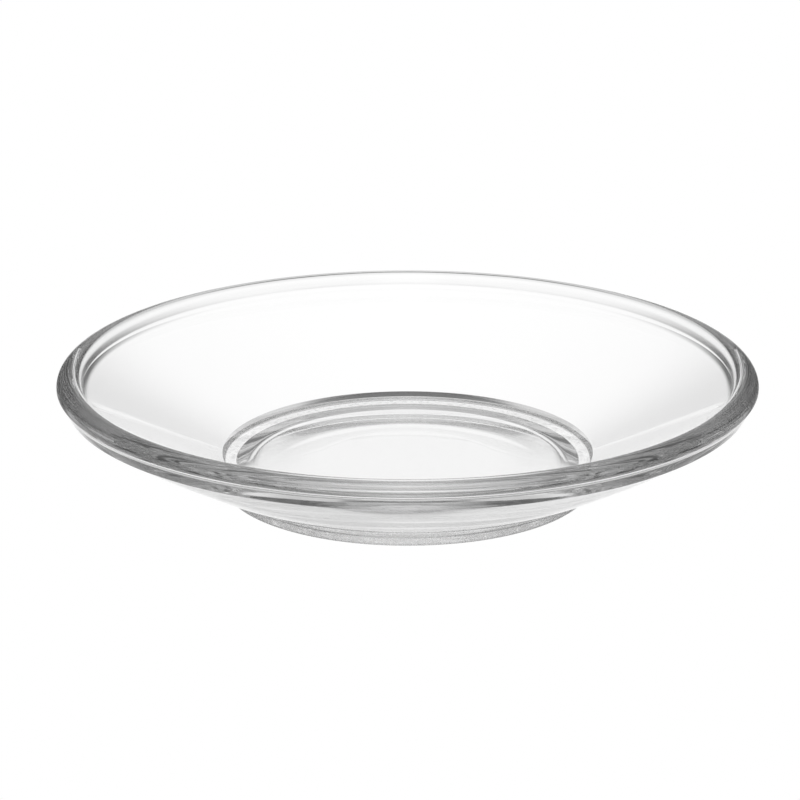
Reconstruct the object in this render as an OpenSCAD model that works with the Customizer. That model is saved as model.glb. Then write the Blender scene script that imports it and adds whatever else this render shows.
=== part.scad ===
// Clear pressed-glass saucer: one round piece of glass with a rounded rim, a shallow flared
// wall of even thickness, a flat floor in the middle and a low foot ring underneath, round a
// shallow recess that rises gently towards its middle.
// Units are millimetres, +Z is up. The origin is the centre of the foot's resting plane.

/* [Overall] */

// outside diameter at the widest part of the rim
rim_d = 135.6; // [130:0.2:140]
// height from the resting plane to the top of the rim
height = 23.6; // [23:0.1:26]

/* [Rim] */

// how far the crest of the rim lies inside the widest part
crest_inset = 3.1; // [2.2:0.1:3.4]
// depth of the outer rounding, from the crest down to the mould's parting line
outer_round_h = 2.4; // [2.0:0.1:3.0]
// width of the inner rounding, from the crest in to the wall
inner_round_w = 2.0; // [1.6:0.1:2.4]
// depth of the inner rounding, from the crest down to the wall
inner_round_h = 2.5; // [2.0:0.1:2.8]
// height of the rim's outer band, below the parting line
band_h = 3.1; // [2.4:0.1:3.4]
// how far the band tapers in towards its lower edge
band_taper = 1.8; // [1.0:0.1:2.0]
// rounding of the band's lower edge
band_round = 0.3; // [0.1:0.1:1]

/* [Wall] */

// how far both faces of the wall bulge below a straight line
wall_bow = 0.44; // [0.2:0.02:0.8]

/* [Cup well] */

// diameter at which the flat floor meets the wall
well_d = 72; // [68:0.2:73]
// height of the floor above the resting plane
floor_z = 6.8; // [6:0.1:7.2]
// rounding of the crease between the floor and the wall
well_round = 0.3; // [0.2:0.1:3]

/* [Foot ring] */

// diameter at which the wall's underside ends above the foot ring
flare_d = 75.6; // [74.8:0.2:76.4]
// height at which the wall's underside ends above the foot ring
flare_h = 2.7; // [2.5:0.1:3.1]
// rounding between the wall's underside and the top of the foot ring
flare_round = 2.0; // [0.5:0.1:2.2]
// outside diameter of the foot ring at its top
foot_top_d = 72.8; // [72.6:0.1:73]
// height of the foot ring
foot_h = 2.0; // [1.8:0.1:2.1]
// outside diameter of the foot ring at its base, before rounding
foot_d = 72; // [71:0.1:72.4]
// rounding of the foot ring's top edge
foot_top_round = 0.4; // [0.2:0.1:0.5]
// rounding of the foot ring's outer bottom edge
foot_toe_round = 0.8; // [0.4:0.1:1]
// diameter of the inner edge of the flat ring the piece rests on
foot_inner_d = 66.6; // [65:0.2:67.6]
// width of the foot ring's sloping inner flank
flank_w = 3.7; // [3.2:0.1:4]
// height of the recess at its edge, inside the foot ring
recess_h = 1.2; // [0.8:0.1:1.4]
// rounding of the foot ring's inner bottom edge
foot_heel_round = 0.4; // [0.2:0.1:0.8]
// rounding between the inner flank and the recess
recess_round = 10; // [4:1:12]
// diameter at which the recess's gentle rise would meet its flat crown, before rounding
crown_d = 39.2; // [35:0.2:40]
// how far the recess rises from its edge to its crown
crown_rise = 0.8; // [0.6:0.05:0.9]
// rounding between the recess's rise and its crown
crown_round = 115; // [60:5:120]

/* [Hidden] */

rim_r = rim_d / 2;
crest_r = rim_r - crest_inset;
parting_z = height - outer_round_h;
inner_r = crest_r - inner_round_w;
inner_z = height - inner_round_h;
band_r = rim_r - band_taper;
band_z = parting_z - band_h;
rest_in_r = foot_inner_d / 2;
recess_r = rest_in_r - flank_w;
crown_z = recess_h + crown_rise;

// straight steps that stand for each curve of the section
rim_steps = 12;
bow_steps = 10;
round_steps = 8;
// facets of the turned body
$fn = 180;

// an elliptical arc about the centre c, from angle a0 to angle a1, without its first point
function ellipse_arc(c, rx, rz, a0, a1) =
    [for (i = [1 : rim_steps])
        let (a = a0 + (a1 - a0) * i / rim_steps)
        c + [rx * cos(a), rz * sin(a)]];

// a shallow bow from p to q, without p, whose middle hangs wall_bow below the straight line
function bow(p, q) =
    let (
        d = q - p,
        down = [abs(d[1]), -abs(d[0])] / norm(d)
    )
    [for (i = [1 : bow_steps])
        let (t = i / bow_steps)
        p + d * t + down * wall_bow * 4 * t * (1 - t)];

// a rounding of radius r at the corner p, between the lines to a and to b
function rounding(a, p, b, r) =
    let (
        u = (a - p) / norm(a - p),
        v = (b - p) / norm(b - p),
        half = acos(u * v) / 2,
        centre = p + (u + v) / norm(u + v) * r / sin(half),
        from = p + u * r / tan(half) - centre,
        to = p + v * r / tan(half) - centre,
        start = atan2(from[1], from[0]),
        turn = atan2(from[0] * to[1] - from[1] * to[0], from * to)
    )
    [for (i = [0 : round_steps])
        let (t = start + turn * i / round_steps)
        centre + [cos(t), sin(t)] * r];

// the last point of a list
function end_of(points) = points[len(points) - 1];

// upper face: the floor, the crease at its edge and the wall up to the rim
function upper_face() =
    let (
        middle = [0, floor_z],
        wall_top = [inner_r, inner_z],
        crease = rounding(middle, [well_d / 2, floor_z], wall_top, well_round)
    )
    concat([middle], crease, bow(end_of(crease), wall_top));

// rim: inner rounding up to the crest, and outer rounding down to the parting line
function rim_face() =
    concat(
        ellipse_arc([crest_r, inner_z], inner_round_w, inner_round_h, 180, 90),
        ellipse_arc([crest_r, parting_z], crest_inset, outer_round_h, 90, 0)
    );

// lower face: the rim's band, underside of the wall, foot ring, and the recess that rises gently
// to its crown
function lower_face() =
    let (
        parting = [rim_r, parting_z],
        band_low = [band_r, band_z],
        flare = [flare_d / 2, flare_h],
        top = [foot_top_d / 2, foot_h],
        toe = [foot_d / 2, 0],
        heel = [rest_in_r, 0],
        step = [recess_r, recess_h],
        crown_edge = [crown_d / 2, crown_z],
        middle = [0, crown_z],
        band_edge = rounding(parting, band_low, flare, band_round),
        neck = rounding(band_low, flare, top, flare_round)
    )
    concat(
        band_edge,
        bow(end_of(band_edge), neck[0]),
        neck,
        rounding(flare, top, toe, foot_top_round),
        rounding(top, toe, heel, foot_toe_round),
        rounding(toe, heel, step, foot_heel_round),
        rounding(heel, step, crown_edge, recess_round),
        rounding(step, crown_edge, middle, crown_round),
        [middle]
    );

module saucer() {
    color([0.93, 0.97, 0.96, 0.35])
        rotate_extrude()
            polygon(concat(upper_face(), rim_face(), lower_face()));
}

saucer();
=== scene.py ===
"""A clear pressed-glass saucer on a pale floor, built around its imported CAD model.

The glass keeps the CAD model's section. Here it is turned at a much finer pitch, and gets what the
press leaves in it: slow waves and long streaks in the rim, faint ripples in the wall and the
floor, and a fine stipple round the outside of the foot ring.
"""
import math

import bmesh
import bpy
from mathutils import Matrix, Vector, noise


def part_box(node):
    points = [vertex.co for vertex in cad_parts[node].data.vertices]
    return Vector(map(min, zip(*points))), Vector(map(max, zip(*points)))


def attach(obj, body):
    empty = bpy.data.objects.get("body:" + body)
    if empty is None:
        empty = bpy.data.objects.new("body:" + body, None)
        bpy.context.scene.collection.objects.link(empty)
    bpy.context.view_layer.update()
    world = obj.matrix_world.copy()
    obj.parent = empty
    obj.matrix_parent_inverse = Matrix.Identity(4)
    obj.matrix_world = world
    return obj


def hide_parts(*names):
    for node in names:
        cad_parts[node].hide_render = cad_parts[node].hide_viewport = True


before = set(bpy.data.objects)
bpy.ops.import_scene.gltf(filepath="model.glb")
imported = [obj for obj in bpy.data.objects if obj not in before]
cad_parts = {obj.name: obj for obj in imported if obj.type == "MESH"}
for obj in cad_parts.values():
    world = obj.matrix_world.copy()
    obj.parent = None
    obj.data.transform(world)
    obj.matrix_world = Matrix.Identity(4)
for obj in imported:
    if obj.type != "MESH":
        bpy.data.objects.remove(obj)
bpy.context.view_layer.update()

MM = 0.001

# ---------------------------------------------------------------- section of the glass, in mm
low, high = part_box("saucer")
RIM_R = (high[0] - low[0]) / 2 / MM
HEIGHT = (high[2] - low[2]) / MM

# the rim's two roundings, and the band that tapers in below its parting line
CREST_INSET = 3.1
OUTER_ROUND_H = 2.4
INNER_ROUND_W = 2.0
INNER_ROUND_H = 2.5
BAND_H = 3.1
BAND_TAPER = 1.8
BAND_ROUND = 0.3

# how far both faces of the wall bulge below a straight line
WALL_BOW = 0.44

# the section's other corners, as radius, height and rounding
FLOOR_EDGE = (36.0, 6.8, 0.3)
FLARE = (37.8, 2.7, 2.0)
FOOT_TOP = (36.4, 2.0, 0.4)
TOE = (36.0, 0.0, 0.8)
HEEL = (33.3, 0.0, 0.4)
RECESS_EDGE = (29.6, 1.2, 10.0)
CROWN_EDGE = (19.6, 2.0, 115.0)

CREST_R = RIM_R - CREST_INSET
PARTING_Z = HEIGHT - OUTER_ROUND_H
INNER_R = CREST_R - INNER_ROUND_W
INNER_Z = HEIGHT - INNER_ROUND_H
BAND_R = RIM_R - BAND_TAPER
BAND_Z = PARTING_Z - BAND_H
FLOOR_Z = FLOOR_EDGE[1]
FOOT_H = FOOT_TOP[1]
FOOT_R = TOE[0]
CROWN_Z = CROWN_EDGE[1]

# facets of the turned body, and how close to the axis a point counts as on it
SEGMENTS = 480
ON_AXIS = 1e-6

# the press marks only ever take glass away, so that the body stays inside the CAD model's box
DEEPEST_MARK = 0.05
# how strong each mark is, as a share of the deepest
RIM_WAVE = 0.25
FAINT_STREAK = 0.04
PATCHY_STREAK = 0.16
CREST_NIBBLE = 0.05
WALL_RIPPLE = 0.5
FLOOR_RIPPLE = 0.10
FOOT_GRAIN = 0.05
STIPPLE = 0.8
# how much the radius counts, beside the height, in placing a streak on the rim
STREAK_SLANT = 0.7
# the nibbled stretch below the top of the rim
NIBBLED_H = 1.2


def line(p, q, pitch):
    """Points from p to q at about the given pitch, without p."""
    steps = max(1, round((q - p).length / pitch))
    return [p.lerp(q, i / steps) for i in range(1, steps + 1)]


def bowed(p, q, sag, pitch):
    """A shallow bow from p to q, without p: its middle hangs sag below the straight line."""
    along = q - p
    down = Vector((abs(along.y), -abs(along.x))).normalized()
    steps = round(along.length / pitch)
    ts = [i / steps for i in range(1, steps + 1)]
    return [p + along * t + down * (sag * 4 * t * (1 - t)) for t in ts]


def elliptic(centre, rx, rz, start, end, steps):
    """An elliptic arc between two angles in degrees, without its first point."""
    angles = [math.radians(start + (end - start) * i / steps) for i in range(1, steps + 1)]
    return [centre + Vector((rx * math.cos(a), rz * math.sin(a))) for a in angles]


def rounding(a, corner, b, radius, steps=8):
    """A rounding of the corner between the lines to a and to b."""
    u = (a - corner).normalized()
    v = (b - corner).normalized()
    half = u.angle(v) / 2
    centre = corner + (u + v).normalized() * (radius / math.sin(half))
    first = corner + u * (radius / math.tan(half)) - centre
    last = corner + v * (radius / math.tan(half)) - centre
    turn = math.atan2(first.x * last.y - first.y * last.x, first.dot(last))
    start = math.atan2(first.y, first.x)
    angles = [start + turn * i / steps for i in range(steps + 1)]
    return [centre + Vector((math.cos(t), math.sin(t))) * radius for t in angles]


def rounded(start, corners, end):
    """The roundings of a chain of corners between two points that stay sharp."""
    places = [start] + [Vector((r, z)) for r, z, radius in corners] + [end]
    return [rounding(*places[i:i + 3], corners[i][2]) for i in range(len(corners))]


def section():
    """The glass's section from the middle of the floor, over the rim, to the middle of the recess
    under it. Each point comes with the name of the stretch that it belongs to."""
    floor_mid = Vector((0, FLOOR_Z))
    wall_top = Vector((INNER_R, INNER_Z))
    inner = Vector((CREST_R, INNER_Z))
    outer = Vector((CREST_R, PARTING_Z))
    parting = Vector((RIM_R, PARTING_Z))
    band_low = Vector((BAND_R, BAND_Z))
    crown_mid = Vector((0, CROWN_Z))
    crease = rounded(floor_mid, [FLOOR_EDGE], wall_top)[0]
    band_edge = rounding(parting, band_low, Vector(FLARE[:2]), BAND_ROUND, steps=4)
    corners = [FLARE, FOOT_TOP, TOE, HEEL, RECESS_EDGE, CROWN_EDGE]
    flare, foot_top, toe, heel, step, crown_edge = rounded(band_low, corners, crown_mid)
    stretches = [
        ("floor", [floor_mid] + line(floor_mid, crease[0], pitch=1.5) + crease[1:]),
        ("wall", bowed(crease[-1], wall_top, WALL_BOW, pitch=1.5)),
        ("rim", elliptic(inner, INNER_ROUND_W, INNER_ROUND_H, 180, 90, steps=16)),
        ("rim", elliptic(outer, CREST_INSET, OUTER_ROUND_H, 90, 0, steps=24)[:-1]),
        ("parting", [parting]),
        ("rim", line(parting, band_edge[0], pitch=0.3) + band_edge[1:]),
        ("underside", bowed(band_edge[-1], flare[0], WALL_BOW, pitch=1.5) + flare[1:]),
        ("foot", line(flare[-1], foot_top[0], pitch=0.3) + foot_top[1:]),
        ("stipple", line(foot_top[-1], toe[0], pitch=0.25)),
        ("foot", toe[1:] + line(toe[-1], heel[0], pitch=0.4) + heel[1:]),
        ("foot", line(heel[-1], step[0], pitch=0.4) + step[1:]),
        ("recess", line(step[-1], crown_edge[0], pitch=1.0) + crown_edge[1:]),
        ("recess", line(crown_edge[-1], crown_mid, pitch=4.0)),
    ]
    return [(name, point) for name, points in stretches for point in points]


def outward(points):
    """The section's outward direction at each of its points."""
    directions = []
    for i in range(len(points)):
        along = points[min(i + 1, len(points) - 1)] - points[max(i - 1, 0)]
        directions.append(Vector((-along.y, along.x)).normalized())
    return directions


def smooth(value, start, end):
    """A step that eases from 0 at start to 1 at end."""
    t = min(1.0, max(0.0, (value - start) / (end - start)))
    return t * t * (3 - 2 * t)


def drawn(x, y, across, turns, rise):
    """Noise that is drawn out round the saucer, where x and y are the cosine and sine of the way
    round, and that changes as it goes across the section."""
    return noise.noise(Vector((x * turns, y * turns, across * rise)))


def rippled(x, y, radius, per_mm=0.06, level=4.0):
    """Noise that changes slowly over a flat face, at a radius in the direction of x and y."""
    return noise.noise(Vector((radius * x * per_mm, radius * y * per_mm, level)))


def speckled(k, row, round_step=0.9, down_step=1.7, level=2.0):
    """Noise that changes from each facet to the next, round the saucer and down its section."""
    return noise.noise(Vector((k * round_step, row * down_step, level)))


def rim_marks(point, x, y):
    """Waves and patchy streaks of the fire-polished rim, and small nibbles along its crest."""
    across = point.x * STREAK_SLANT + point.y
    wave = RIM_WAVE * drawn(x, y, across, turns=4, rise=0.22)
    patch = smooth(drawn(x, y, across, turns=3, rise=0.1), 0.05, 0.45)
    streak = (FAINT_STREAK + PATCHY_STREAK * patch) * drawn(x, y, across, turns=9, rise=1.1)
    crest = smooth(point.y, HEIGHT - NIBBLED_H, HEIGHT)
    nibble = CREST_NIBBLE * drawn(x, y, across, turns=60, rise=0.8) * crest
    return wave + streak + nibble


def press_marks(stretch, point, x, y, row, k):
    """How far the glass stands off its nominal section, in mm: never above it."""
    if stretch in ("rim", "parting"):
        mark = rim_marks(point, x, y)
    elif stretch == "stipple":
        mark = STIPPLE * speckled(k, row)
    elif stretch == "foot":
        mark = FOOT_GRAIN * drawn(x, y, point.x + point.y, turns=20, rise=2)
    elif stretch in ("floor", "recess"):
        mark = FLOOR_RIPPLE * rippled(x, y, point.x)
    else:
        mark = WALL_RIPPLE * drawn(x, y, point.x, turns=2.5, rise=0.12)
    return DEEPEST_MARK * (min(mark, 1.0) - 1.0)


def marked_ring(bm, stretch, point, normal, row):
    """The vertices of a point of the section carried round the axis, with its press marks."""
    ring = []
    for k in range(SEGMENTS if point.x > ON_AXIS else 1):
        angle = 2 * math.pi * k / SEGMENTS
        x, y = math.cos(angle), math.sin(angle)
        place = (point + normal * press_marks(stretch, point, x, y, row, k)) * MM
        ring.append(bm.verts.new((place.x * x, place.x * y, place.y)))
    return ring


def skin(bm, a, b, shaded_smooth):
    """The faces between two rings, either of which may be a single vertex on the axis."""
    for k in range(SEGMENTS):
        n = (k + 1) % SEGMENTS
        if len(a) == 1:
            corners = (a[0], b[k], b[n])
        elif len(b) == 1:
            corners = (a[k], b[0], a[n])
        else:
            corners = (a[k], b[k], b[n], a[n])
        bm.faces.new(corners).smooth = shaded_smooth


def sharpen(bm, ring):
    """Marks the edges round a ring as sharp."""
    for a, b in zip(ring, ring[1:] + ring[:1]):
        bm.edges.get((a, b)).smooth = False


def finished(bm, name):
    """A new object in the scene, from a mesh that is complete."""
    mesh = bpy.data.meshes.new(name)
    bm.to_mesh(mesh)
    bm.free()
    made = bpy.data.objects.new(name, mesh)
    bpy.context.collection.objects.link(made)
    return made


def turned(name, stretches):
    """A closed body of revolution about Z from a section that starts and ends on the axis."""
    names, points = zip(*stretches)
    bm = bmesh.new()
    places = enumerate(zip(names, points, outward(points)))
    rings = [marked_ring(bm, *place, row) for row, place in places]
    for a, b, stretch in zip(rings, rings[1:], names[1:]):
        skin(bm, a, b, shaded_smooth=stretch != "stipple")
    sharpen(bm, rings[names.index("parting")])
    bmesh.ops.recalc_face_normals(bm, faces=bm.faces)
    return finished(bm, name)


# ---------------------------------------------------------------- node helpers
# the sockets of a Mix node that carry colour, which share their names with others
MIX_FIRST = 6
MIX_SECOND = 7
MIX_RESULT = 2


def math_node(tree, operation, *values):
    """The result of a Math node, whose values are numbers or other nodes' results."""
    node = tree.nodes.new("ShaderNodeMath")
    node.operation = operation
    for socket, value in zip(node.inputs, values):
        if isinstance(value, (int, float)):
            socket.default_value = value
        else:
            tree.links.new(value, socket)
    return node.outputs[0]


def smooth_step(tree, value, start, end, low_value=0.0, high_value=1.0):
    """A step that eases from the low value at start to the high value at end."""
    node = tree.nodes.new("ShaderNodeMapRange")
    node.interpolation_type = "SMOOTHSTEP"
    tree.links.new(value, node.inputs["Value"])
    settings = {"From Min": start, "From Max": end, "To Min": low_value, "To Max": high_value}
    for key, setting in settings.items():
        node.inputs[key].default_value = setting
    return node.outputs[0]


def blended(tree, share, first, second):
    """A mix of two colours, in which share is the part of the second."""
    node = tree.nodes.new("ShaderNodeMix")
    node.data_type = "RGBA"
    tree.links.new(share, node.inputs["Factor"])
    tree.links.new(first, node.inputs[MIX_FIRST])
    tree.links.new(second, node.inputs[MIX_SECOND])
    return node.outputs[MIX_RESULT]


def noise_node(tree, coords, scale, detail):
    """Noise with about scale features to the metre, and finer ones inside them by its detail."""
    node = tree.nodes.new("ShaderNodeTexNoise")
    node.inputs["Scale"].default_value = scale
    node.inputs["Detail"].default_value = detail
    tree.links.new(coords, node.inputs["Vector"])
    return node.outputs["Fac"]


def components(tree, coords):
    """The x, y and z of a vector."""
    node = tree.nodes.new("ShaderNodeSeparateXYZ")
    tree.links.new(coords, node.inputs[0])
    return node.outputs


def level_length(tree, x, y):
    """The length of a vector's level part, from its x and y."""
    squares = [math_node(tree, "MULTIPLY", part, part) for part in (x, y)]
    return math_node(tree, "SQRT", math_node(tree, "ADD", *squares))


# ---------------------------------------------------------------- glass, with sizes in mm
IOR = 1.52
# absorption per metre of glass
GREY_DENSITY = 3.0
GRAIN_SCALE = 900.0

# scuffs on the resting plane, which fade out by this height
SCUFFED_H = 0.15
SCUFF_ROUGHNESS = (0.05, 0.35)
# stipple, which fades in round the outside of the foot ring, and out just below its top edge
STIPPLE_R = (FOOT_R - 0.6, FOOT_R - 0.3)
STIPPLE_Z = (FOOT_H - 0.4, FOOT_H)
STIPPLE_ROUGHNESS = (0.18, 0.38)

RIPPLE_SCALE = 160.0
RIPPLE_DEPTH = 0.003


def glass_roughness(tree, coords):
    """Polished all over, but scuffed where the saucer stands and frosted where it is stippled."""
    grain = noise_node(tree, coords, GRAIN_SCALE, detail=2.0)
    x, y, z = components(tree, coords)
    standing = smooth_step(tree, z, 0.0, SCUFFED_H * MM, 1.0, 0.0)
    scuffs = smooth_step(tree, grain, 0.45, 0.65, *SCUFF_ROUGHNESS)
    scuffed = math_node(tree, "MULTIPLY", standing, scuffs)
    outside = smooth_step(tree, level_length(tree, x, y), STIPPLE_R[0] * MM, STIPPLE_R[1] * MM)
    below = smooth_step(tree, z, STIPPLE_Z[0] * MM, STIPPLE_Z[1] * MM, 1.0, 0.0)
    stippled = math_node(tree, "MULTIPLY", outside, below)
    stipple = smooth_step(tree, grain, 0.38, 0.62, *STIPPLE_ROUGHNESS)
    frosted = math_node(tree, "MULTIPLY", stippled, stipple)
    return math_node(tree, "MAXIMUM", scuffed, frosted)


def glass_ripple(tree, coords):
    """The surface's direction, tilted a little by the fine ripple of a fire-polished face."""
    bump = tree.nodes.new("ShaderNodeBump")
    bump.inputs["Distance"].default_value = RIPPLE_DEPTH * MM
    ripple = noise_node(tree, coords, RIPPLE_SCALE, detail=1.0)
    tree.links.new(ripple, bump.inputs["Height"])
    return bump.outputs[0]


def clear_glass():
    """Colourless soda-lime glass, fire-polished, frosted by its stipple and scuffed underneath."""
    material = bpy.data.materials.new("clear_glass")
    material.use_nodes = True
    tree = material.node_tree
    coords = tree.nodes.new("ShaderNodeTexCoord").outputs["Object"]

    shader = tree.nodes["Principled BSDF"]
    shader.inputs["Base Color"].default_value = (1, 1, 1, 1)
    shader.inputs["IOR"].default_value = IOR
    shader.inputs["Transmission Weight"].default_value = 1.0
    tree.links.new(glass_roughness(tree, coords), shader.inputs["Roughness"])
    tree.links.new(glass_ripple(tree, coords), shader.inputs["Normal"])

    grey = tree.nodes.new("ShaderNodeVolumeAbsorption")
    grey.inputs["Color"].default_value = (0, 0, 0, 1)
    grey.inputs["Density"].default_value = GREY_DENSITY
    tree.links.new(grey.outputs[0], tree.nodes["Material Output"].inputs["Volume"])
    return material


saucer = turned("saucer_glass", section())
saucer.data.materials.append(clear_glass())
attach(saucer, "root")
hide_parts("saucer")


# ---------------------------------------------------------------- studio, with sizes in metres
# Brightness by elevation in degrees, with the horizon at 0, in three upright zones that are alike
# in front and behind. Along the line of sight it is bright below the horizon, but for a narrow
# dark band, and about half as bright for some way above. Beside that it is dark from a little
# below the horizon to well above it. At the two sides it is bright below and darkest just above.
BEHIND = [(-90, 0.65), (-56, 0.75), (-50, 0.70), (-46.5, 0.08), (-43, 0.08), (-41, 0.65),
          (-37, 0.85), (-24, 1.0), (-9, 0.98), (8, 0.50), (18, 0.62), (28, 0.46),
          (45, 0.55), (57, 0.90), (85, 0.75)]
AROUND = [(-70, 0.60), (-35, 0.60), (-22, 0.90), (-12, 0.16), (-2, 0.11), (18, 0.10), (40, 0.55),
          (80, 0.65)]
SIDES = [(-70, 0.60), (-38, 0.50), (-30, 0.85), (-20, 1.0), (-3, 0.95), (2, 0.18), (15, 0.07),
         (22, 0.10), (40, 0.35), (58, 0.60), (80, 0.65)]
# where one zone fades into the next, as the sine of the angle round from the line of sight
BEHIND_TO_AROUND = (0.06, 0.30)
AROUND_TO_SIDES = (0.58, 0.69)
# keeps the division for that sine safe straight up and straight down
LEAST_LENGTH = 0.0001
STUDIO_STRENGTH = 1.06

STAGE_HALF = 2.0
STAGE_GAP = 0.0001
BACKDROP_R = 6.0


def brightness_ramp(tree, height, stops):
    """Brightness that eases from stop to stop, as height goes from 0, straight down, to 1,
    straight up."""
    node = tree.nodes.new("ShaderNodeValToRGB")
    node.color_ramp.interpolation = "EASE"
    elements = node.color_ramp.elements
    while len(elements) > 1:
        elements.remove(elements[-1])
    heights = [degrees / 180 + 0.5 for degrees, level in stops]
    levels = [level for degrees, level in stops]
    elements[0].position = heights[0]
    for place in heights[1:]:
        elements.new(place)
    for element, level in zip(elements, levels):
        element.color = (level, level, level, 1)
    tree.links.new(height, node.inputs[0])
    return node.outputs[0]


def studio_light():
    """Bright-field light: bright low down and along the line of sight, and dark near the horizon
    beside it, so that the glass shows by the dark zones that it bends into view."""
    world = bpy.data.worlds.new("studio")
    bpy.context.scene.world = world
    world.use_nodes = True
    tree = world.node_tree
    tree.nodes.clear()
    x, y, z = components(tree, tree.nodes.new("ShaderNodeTexCoord").outputs["Generated"])
    level = math_node(tree, "MAXIMUM", level_length(tree, x, y), LEAST_LENGTH)
    sideways = math_node(tree, "DIVIDE", math_node(tree, "ABSOLUTE", x), level)
    rise = math_node(tree, "DIVIDE", math_node(tree, "ARCSINE", z), math.pi)
    height = math_node(tree, "ADD", rise, 0.5)
    behind, around, sides = (brightness_ramp(tree, height, s) for s in (BEHIND, AROUND, SIDES))
    room = blended(tree, smooth_step(tree, sideways, *BEHIND_TO_AROUND), behind, around)
    whole = blended(tree, smooth_step(tree, sideways, *AROUND_TO_SIDES), room, sides)
    light = tree.nodes.new("ShaderNodeBackground")
    light.inputs["Strength"].default_value = STUDIO_STRENGTH
    tree.links.new(whole, light.inputs["Color"])
    output = tree.nodes.new("ShaderNodeOutputWorld")
    tree.links.new(light.outputs[0], output.inputs["Surface"])


def white(name):
    """A glowing white finish for the stage."""
    material = bpy.data.materials.new(name)
    material.use_nodes = True
    tree = material.node_tree
    tree.nodes.clear()
    output = tree.nodes.new("ShaderNodeOutputMaterial")
    glow = tree.nodes.new("ShaderNodeEmission")
    tree.links.new(glow.outputs[0], output.inputs["Surface"])
    return material


def white_piece(name, z, create, **shape):
    """A white piece of the stage at height z. The studio lights the glass, so that only the
    camera sees the piece."""
    bm = bmesh.new()
    create(bm, **shape)
    piece = finished(bm, name)
    piece.data.materials.append(white("white_" + name))
    piece.location.z = z
    piece.visible_diffuse = False
    piece.visible_glossy = False
    piece.visible_transmission = False
    piece.visible_volume_scatter = False
    piece.visible_shadow = False


def pale_stage():
    """A plain white floor just under the foot ring, and a white backdrop all round."""
    grid, ball = bmesh.ops.create_grid, bmesh.ops.create_icosphere
    white_piece("floor", -STAGE_GAP, grid, x_segments=1, y_segments=1, size=STAGE_HALF)
    white_piece("backdrop", 0.0, ball, subdivisions=3, radius=BACKDROP_R)


# ---------------------------------------------------------------- camera
CAMERA_ELEVATION = math.radians(18.73)
CAMERA_DISTANCE = 0.81
AIM = Vector((0, 0, 0.0135))
SENSOR = 36
LENS = 187.87
SHIFT = (-0.0095, 0.0209)
CLIP = (0.01, 100)


def camera():
    """A long lens, raised a little, aimed at the middle of the saucer."""
    data = bpy.data.cameras.new("camera")
    view = bpy.data.objects.new("camera", data)
    bpy.context.collection.objects.link(view)
    back = Vector((0, -math.cos(CAMERA_ELEVATION), math.sin(CAMERA_ELEVATION)))
    view.location = AIM + back * CAMERA_DISTANCE
    view.rotation_euler = (math.pi / 2 - CAMERA_ELEVATION, 0, 0)
    data.sensor_width = SENSOR
    data.lens = LENS
    data.shift_x, data.shift_y = SHIFT
    data.clip_start, data.clip_end = CLIP
    bpy.context.scene.camera = view


def light_paths(bounces=32):
    """Enough bounces for light that is caught inside the rim to find its way out."""
    cycles = bpy.context.scene.cycles
    cycles.max_bounces = bounces
    cycles.glossy_bounces = bounces
    cycles.transmission_bounces = bounces


studio_light()
pale_stage()
camera()
light_paths()
bpy.context.scene.view_settings.view_transform = "Standard"
